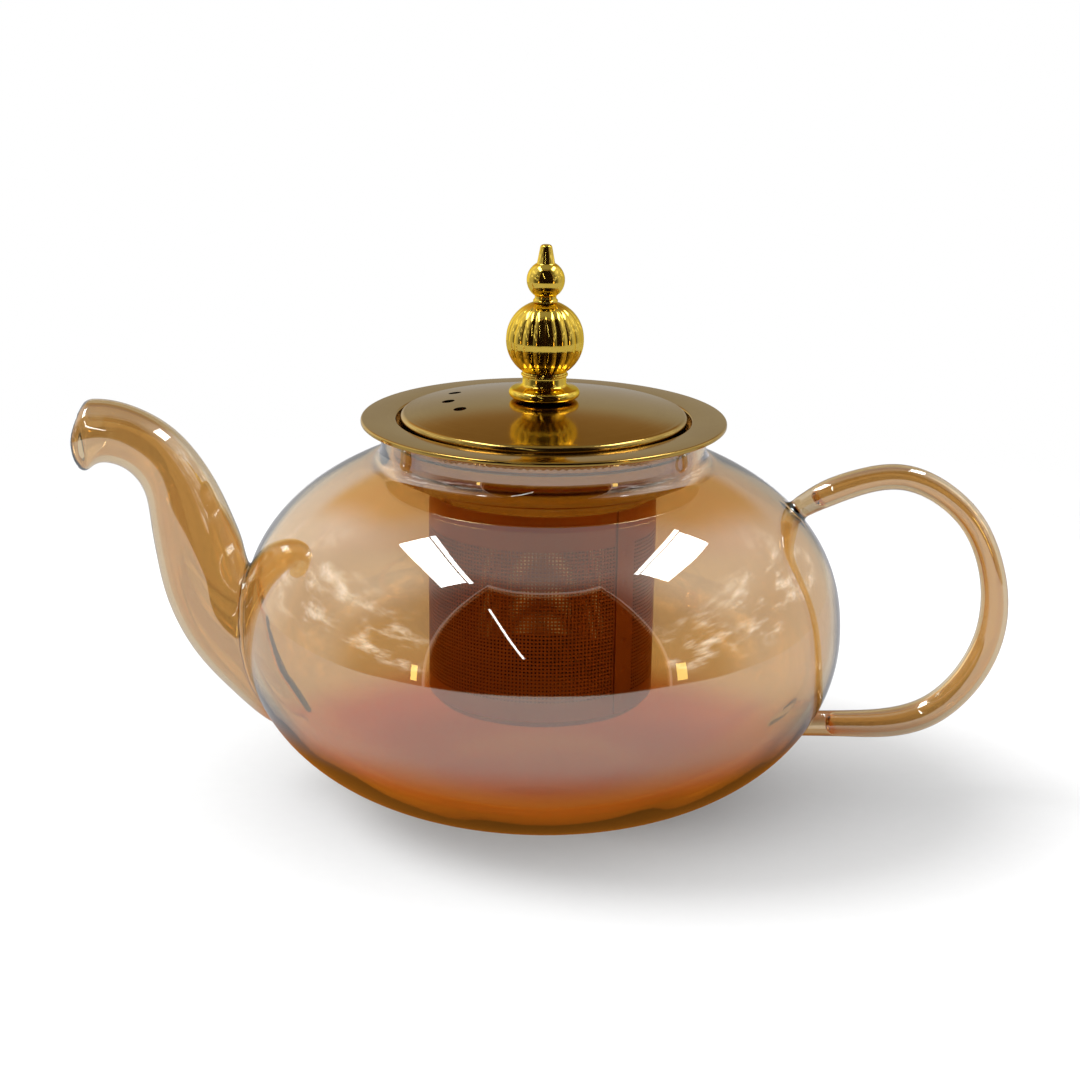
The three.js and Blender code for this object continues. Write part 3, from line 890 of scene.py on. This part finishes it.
def lid():
    dome_radius = LID_RADIUS - EDGE_ROUND
    edge_z = CROWN_TOP - CROWN_HEIGHT
    sphere = (dome_radius ** 2 + CROWN_HEIGHT ** 2) / (2 * CROWN_HEIGHT)

    def crown(drop):
        radii = np.linspace(dome_radius, SCREW_HOLE, 60)
        centre = CROWN_TOP - sphere
        return [(r, centre + math.sqrt(sphere ** 2 - r ** 2) - drop) for r in radii]

    roll_z = edge_z - EDGE_ROUND
    outline = [(LID_RADIUS, dome_low.z)]
    outline += arc(dome_radius, roll_z, EDGE_ROUND, 0, 90, 16)[:-2]
    outline += crown(0)
    outline += crown(SHEET)[::-1]
    outline += arc(dome_radius, roll_z, EDGE_ROUND - SHEET, 90, 0, 12)[1:]
    outline += [(LID_RADIUS - SHEET, dome_low.z)]
    piece = turned("lid_cover", outline, BRONZE, True)
    for i in range(VENT_COUNT):
        turn = i - (VENT_COUNT - 1) / 2
        bearing = math.radians(VENT_BEARING + turn * VENT_STEP)
        orbit = VENT_ORBIT - turn * VENT_DRIFT
        low = edge_z - DRILL_REACH
        high = edge_z + DRILL_REACH
        rod = [(0, low), (VENT_RADIUS, low), (VENT_RADIUS, high), (0, high)]
        drill = turned("drill", rod, facets=VENT_FACETS)
        spot = (orbit * math.cos(bearing), orbit * math.sin(bearing), 0)
        drill.data.transform(Matrix.Translation(spot))
        cut_or_join(piece, drill, "DIFFERENCE")
    keep_crisp(piece, 30)
    return piece


# ---- Knob ----

def knob_foot():
    low = foot_low.z
    waist = low + FOOT_FLARE_HEIGHT
    flare = FOOT_RADIUS - FOOT_TOE - WAIST_RADIUS
    rise = FOOT_FLARE_HEIGHT - 2 * FOOT_TOE
    outline = arc(FOOT_RADIUS - FOOT_TOE, low + FOOT_TOE, FOOT_TOE, -90, 70, 12)
    start = outline[-1]
    for t in np.linspace(0, 1, 13)[1:]:
        weights = [(1 - t) ** 2, 2 * t * (1 - t), t ** 2]
        pull = (WAIST_RADIUS + flare * 0.12, start[1] + rise * 0.35)
        outline.append(tuple(np.dot(weights, [start, pull, (WAIST_RADIUS, waist)])))
    bead = 0.35 * MM
    top = foot_high.z
    outline += arc(WAIST_RADIUS, top - 2 * bead, bead, -90, 90, 8)
    outline += [(WAIST_RADIUS - 0.1 * MM, top), (SCREW_HOLE, top), (SCREW_HOLE, low)]
    return turned("knob_base", outline, GOLD, True)


def knob_ball():
    """A bored ball with convex lobes that meet in sharp valleys and die out at its ends."""
    centre = ball_low.z + math.sqrt(BALL_RADIUS ** 2 - BALL_SEAT ** 2)
    low = -math.acos(BALL_SEAT / BALL_RADIUS)
    high = math.acos(BALL_TOP / BALL_RADIUS)
    outline = []
    for angle in np.linspace(low, high, 70):
        outline.append((BALL_RADIUS * math.cos(angle), centre + BALL_RADIUS * math.sin(angle)))
    outline += [(SCREW_HOLE, ball_high.z), (SCREW_HOLE, ball_low.z)]

    def lobe(r, turn):
        swell = abs(math.sin(LOBES / 2 * turn)) ** LOBE_FULLNESS
        share = max(0.0, (r - SCREW_HOLE) / (BALL_RADIUS - SCREW_HOLE)) ** LOBE_FADE
        return r - LOBE_DEPTH * share * (1 - swell)

    return turned("knob_lobed_ball", outline, GOLD, True, LOBES * LOBE_FACETS, 0, lobe)


def knob_spire():
    low = spire_low.z
    top = spire_high.z
    neck_top = low + TOP_NECK_HEIGHT
    ball_from = math.asin(TOP_NECK_RADIUS / SMALL_BALL_RADIUS)
    ball_to = math.asin(SPIRE_BASE_RADIUS / SMALL_BALL_RADIUS)
    centre = neck_top + SMALL_BALL_RADIUS * math.cos(ball_from)
    ball_top = centre + SMALL_BALL_RADIUS * math.cos(ball_to)
    toe = TOP_NECK_RADIUS + 0.35 * MM
    toe_top = low + 0.3 * MM
    outline = [(0, low), (toe, low), (toe, toe_top), (TOP_NECK_RADIUS, low + 0.7 * MM)]
    angles = (-90 + math.degrees(ball_from), 90 - math.degrees(ball_to))
    outline += arc(0, centre, SMALL_BALL_RADIUS, *angles, 36)
    tip = 0.7 * MM
    shaft_top = top - tip
    outline += [(SPIRE_BASE_RADIUS - 0.1 * MM, ball_top + 0.15 * MM)]
    outline += arc(SPIRE_TIP_RADIUS - tip, shaft_top, tip, 5, 90, 8)
    outline += [(0, top)]
    return turned("knob_finial", outline, GOLD)


def knob_washer():
    outer = washer_high.x
    ease = 0.15 * MM
    low = washer_low.z
    top = washer_high.z
    outline = arc(outer - ease, low + ease, ease, -90, 0, 3)
    outline += arc(outer - ease, top - ease, ease, 0, 90, 3)
    outline += [(SCREW_HOLE, top), (SCREW_HOLE, low)]
    return turned("knob_thrust_washer", outline, STEEL, True, WASHER_FACETS)


def knob_screw():
    low = screw_low.z
    head_top = low + SCREW_HEAD_HEIGHT
    tip = screw_high.z
    outline = [(0, low), (SCREW_HEAD_RADIUS - SCREW_CHAMFER, low)]
    outline += [(SCREW_HEAD_RADIUS, low + SCREW_CHAMFER), (SCREW_HEAD_RADIUS, head_top)]
    outline += [(SCREW_RADIUS, head_top), (SCREW_RADIUS, tip - SCREW_CHAMFER)]
    outline += [(SCREW_RADIUS - SCREW_CHAMFER, tip), (0, tip)]
    piece = turned("knob_long_screw", outline, STEEL, facets=SCREW_FACETS)
    reach = SCREW_HEAD_RADIUS * 1.5
    half = SCREW_SLOT / 2
    corners = []
    for z in (low - SCREW_SLOT, low + SCREW_SLOT):
        corners += [(-reach, -half, z), (reach, -half, z), (-reach, half, z), (reach, half, z)]
    sides = [(0, 1, 3, 2), (4, 5, 7, 6), (0, 1, 5, 4), (2, 3, 7, 6), (0, 2, 6, 4), (1, 3, 7, 5)]
    cut_or_join(piece, new_piece("slot", corners, sides), "DIFFERENCE")
    tidy_mesh(piece)
    return piece


keep(glass_vessel(), "vessel", "amber_glass", "glass_body", "glass_spout", "glass_handle")
keep(infuser_rim(), "infuser", "bronze_steel", "infuser_rim")
keep(infuser_collar(), "infuser", "bronze_steel", "infuser_collar")
keep(infuser_basket(), "infuser", "bronze_steel", "infuser_basket")
keep(basket_seam(), "infuser", "bronze_steel")
keep(infuser_cup(), "infuser", "bronze_steel", "infuser_base")
keep(lid(), "lid", "bronze_steel", "lid_dome")
keep(knob_foot(), "lid", "gold_plate", "knob_foot")
keep(knob_ball(), "lid", "gold_plate", "knob_fluted_ball")
keep(knob_spire(), "lid", "gold_plate", "knob_spire")
keep(knob_washer(), "lid", "plain_steel", "knob_washer")
keep(knob_screw(), "lid", "plain_steel", "knob_screw")


# ---- Studio ----

FLOOR_RADIUS = 0.56
FLOOR_THICKNESS = 4 * MM
FLOOR_GAP = 0.05 * MM
FLOOR_SHARE_KEPT = 0.34
FLOOR_SHARE_GONE = 0.64
# Reach of the painted amber pool of light and painted shadow under the pot.
POOL_EDGE = 88 * MM
POOL_HEART = 60 * MM
FAR_FROM = 100 * MM
FAR_TO = 190 * MM

# The tent is open in front, between two bearings and up to a level.
OPENING_LEFT = math.radians(-43)
OPENING_RIGHT = math.radians(48)
OPENING_TOP = 0.925
HEM_SOFTNESS = 0.012

# Flat lamps: start, end, width, radiance and tint.
ROOF_LAMPS = {
    "roof_left": ((-0.385, -0.265, 0.85), (-0.445, 0.245, 0.85), 0.13, 9),
    "roof_left_slat": ((-0.297, -0.265, 0.85), (-0.357, 0.245, 0.85), 0.02, 7),
    "roof_right": ((0.475, -0.115, 0.84), (0.54, 0.385, 0.84), 0.15, 9),
    "roof_right_slat": ((0.375, -0.115, 0.84), (0.44, 0.385, 0.84), 0.02, 7),
    "rod": ((-0.268, -0.526, 0.79), (-0.10, -0.90, 0.38), 0.013, 7),
}
GLINT_LAMPS = {
    "glint_left": ((-0.32, -0.34, 0.03), (-0.31, -0.33, 0.10), 0.018, 5),
    "glint_right": ((0.34, -0.30, 0.03), (0.33, -0.29, 0.11), 0.03, 4),
}
GLINT_TINT = (1.0, 0.62, 0.16)
LAMP_AIM = Vector((0, 0, 0.05))
KEY_FROM = Vector((-0.68, 0.06, 0.66))
KEY_ENERGY = 2.1
KEY_ANGLE = math.radians(34)

CAMERA_PLACE = Vector((-0.504, -576.13, 228.47)) * MM
CAMERA_AIM = Vector((-0.5, 0, 60.9)) * MM
CAMERA_ROLL = math.radians(0.8)
LENS = 84.93
SENSOR = 36


def pale_floor():
    """A pale floor that shades off to white. Polished surfaces see it greyer than it is, and under
    the pot a painted amber pool and glow of light that stands in for light come through the glass.
    Other rays, apart from the camera's, see a painted shadow under the pot."""
    finish = Finish("pale_floor", Roughness=0.7, Specular_IOR_Level=0.0)
    grain = finish.noise(finish.place, 300.0, 2.0)
    pale = finish.mix(grain, colour(0.9, 0.9, 0.9), colour(0.92, 0.92, 0.92))
    direct = finish.add("ShaderNodeLightPath", {}, {}, "Is Camera Ray")
    shiny = finish.add("ShaderNodeLightPath", {}, {}, "Is Glossy Ray")
    x, y, _ = finish.place.parts()
    reach = (x ** 2.0 + y ** 2.0) ** 0.5
    under = reach.span(POOL_EDGE, POOL_HEART)
    # Painted light and shade under the pot: an amber pool of light for glossy rays, a grey shadow for
    # other rays.
    warm = finish.mix(shiny, colour(0.3, 0.29, 0.28), colour(0.3, 0.1, 0.01))
    mirrored = finish.mix(under, colour(0.48, 0.48, 0.5), warm)
    finish.set("Base Color", finish.mix(direct, mirrored, pale))
    far = reach.span(FAR_FROM, FAR_TO) * direct
    tint = finish.mix(direct, colour(1.0, 0.34, 0.04), colour(1.0, 1.0, 1.0))
    # Painted glow: amber under the pot for glossy rays, and white on the far floor for the camera.
    glow = {"Color": tint, "Strength": under * shiny * 0.2 + far * 0.22}
    surface = Value(finish, finish.surface.outputs[0])
    shine = finish.add("ShaderNodeEmission", {}, glow)
    lit = finish.add("ShaderNodeAddShader", {}, {0: surface, 1: shine})
    fade = reach.span(FLOOR_RADIUS * FLOOR_SHARE_KEPT, FLOOR_RADIUS * FLOOR_SHARE_GONE) * direct
    clear = finish.add("ShaderNodeBsdfTransparent")
    finish.blend(fade, lit, clear)
    under_side = -FLOOR_THICKNESS
    outline = [(0, under_side), (FLOOR_RADIUS, under_side), (FLOOR_RADIUS, 0), (0, 0)]
    floor = turned("floor", outline, finish.material, facets=96)
    floor.data.transform(Matrix.Translation((0, 0, -FLOOR_GAP)))


def light_tent():
    """White all round to the eye. Shiny surfaces see a fabric tent that is open in front."""
    world = bpy.data.worlds.new("light_tent")
    world.use_nodes = True
    bpy.context.scene.world = world
    tree = Tree(world.node_tree)
    x, y, z = tree.add("ShaderNodeTexCoord", {}, {}, "Generated").parts()
    bearing = x.maths("ARCTAN2", y * -1.0)

    # The opening and the lit line along its hem.
    left_edge = bearing - OPENING_LEFT
    right_edge = OPENING_RIGHT - bearing
    inside = left_edge.span(-0.03, 0.03) * right_edge.span(-0.03, 0.03)
    opening = inside * z.span(OPENING_TOP + HEM_SOFTNESS, OPENING_TOP - HEM_SOFTNESS)
    edge = left_edge.smaller(right_edge).smaller((OPENING_TOP - z) * 2.0)
    hem = abs(edge).span(0.014, 0.005)

    # The walls: brighter at the sides and the left back, and dim near the front.
    sides = abs(x).span(0.3, 0.65)
    high = z.span(0.3, 0.55)
    wall = 0.36 + 0.24 * sides * high + 0.2 * sides
    wall = wall + 0.08 * y.span(0.2, 0.6) * (1 - high)
    wall = wall + 0.35 * x.span(-0.1, -0.4) * y.span(0.3, 0.7)
    lit = y.span(-0.4, 0.0) + z.span(0.93, 1.0) * 0.8
    wall = wall * (0.22 + 0.78 * lit.limited())

    # Soft folds in the side walls.
    fold_place = tree.vector(x * 1.2 + z * 0.8, y * 1.2, z * 2.4 - x)
    crumple = tree.noise(fold_place, 3.2, 5.0, 0.62).span(0.47, 0.76)
    folds = crumple * abs(x).span(0.5, 0.8) * z.span(0.72, 0.45) * z.span(-0.02, 0.12)
    tent = (wall + folds * 1.8) * (1 - opening * 0.88) + hem * 0.7
    warm = y.span(0.35, 0.6) * z.span(0.28, 0.42) * abs(x).span(0.6, 0.4)
    tone = tree.mix(warm, colour(1.0, 0.985, 0.965), colour(0.86, 0.56, 0.28))
    tone = tree.mix(opening, tone, colour(1.0, 0.42, 0.16))

    path = tree.add("ShaderNodeLightPath").socket.node.outputs
    diffuse = Value(tree, path["Is Diffuse Ray"])
    refracted = Value(tree, path["Is Transmission Ray"])
    strength = 1 - diffuse * 0.14 + refracted * 0.06
    fabric = tree.add("ShaderNodeBackground", {}, {"Color": tone, "Strength": tent})
    white = {"Color": colour(1, 1, 1), "Strength": strength}
    open_white = tree.add("ShaderNodeBackground", {}, white)
    ways = {0: Value(tree, path["Is Glossy Ray"]), 1: open_white, 2: fabric}
    seen = tree.add("ShaderNodeMixShader", {}, ways)
    result = tree.tree.nodes.new("ShaderNodeOutputWorld")
    tree.tree.links.new(seen.socket, result.inputs[0])


def placed(right, top, back, place):
    """The matrix that turns a lamp or a camera to three directions at a place."""
    rows = [(*row, where) for row, where in zip(zip(right, top, back), place)]
    return Matrix((*rows, (0, 0, 0, 1)))


def strip_lamp(name, start, end, width, radiance, tint=(1, 1, 1)):
    """A flat lamp between two places, turned to face the pot. Only shiny surfaces see it."""
    start = Vector(start)
    end = Vector(end)
    middle = (start + end) / 2
    along = (end - start).normalized()
    away = middle - LAMP_AIM
    away = (away - along * away.dot(along)).normalized()
    across = along.cross(away)
    lamp = bpy.data.lights.new(name, "AREA")
    lamp.shape = "RECTANGLE"
    lamp.size = width
    lamp.size_y = (end - start).length
    lamp.energy = radiance * math.pi * width * lamp.size_y
    lamp.color = tint
    light = bpy.data.objects.new(name, lamp)
    light.matrix_world = placed(across, along, away, middle)
    light.visible_camera = False
    light.visible_transmission = False
    light.visible_diffuse = False
    bpy.context.scene.collection.objects.link(light)


def studio_lamps():
    """Two lit strips under the tent's roof, a slanted rod in front, two gold glints and a key."""
    for name, sizes in ROOF_LAMPS.items():
        strip_lamp(name, *sizes)
    for name, sizes in GLINT_LAMPS.items():
        strip_lamp(name, *sizes, GLINT_TINT)
    sun = bpy.data.lights.new("key", "SUN")
    sun.energy = KEY_ENERGY
    sun.angle = KEY_ANGLE
    key = bpy.data.objects.new("key", sun)
    key.rotation_euler = KEY_FROM.to_track_quat("Z", "Y").to_euler()
    key.visible_glossy = False
    key.visible_transmission = False
    key.visible_camera = False
    bpy.context.scene.collection.objects.link(key)


def camera():
    """A long lens from a little above the rim, turned a touch about its own axis."""
    forward = (CAMERA_AIM - CAMERA_PLACE).normalized()
    side = forward.cross(Vector((0, 0, 1))).normalized()
    up = side.cross(forward)
    right = side * math.cos(CAMERA_ROLL) + up * math.sin(CAMERA_ROLL)
    top = up * math.cos(CAMERA_ROLL) - side * math.sin(CAMERA_ROLL)
    lens = bpy.data.cameras.new("camera")
    lens.sensor_width = SENSOR
    lens.lens = LENS
    view = bpy.data.objects.new("camera", lens)
    view.matrix_world = placed(right, top, -forward, CAMERA_PLACE)
    bpy.context.scene.collection.objects.link(view)
    bpy.context.scene.camera = view


pale_floor()
light_tent()
studio_lamps()
camera()
bpy.context.scene.view_settings.view_transform = "Standard"
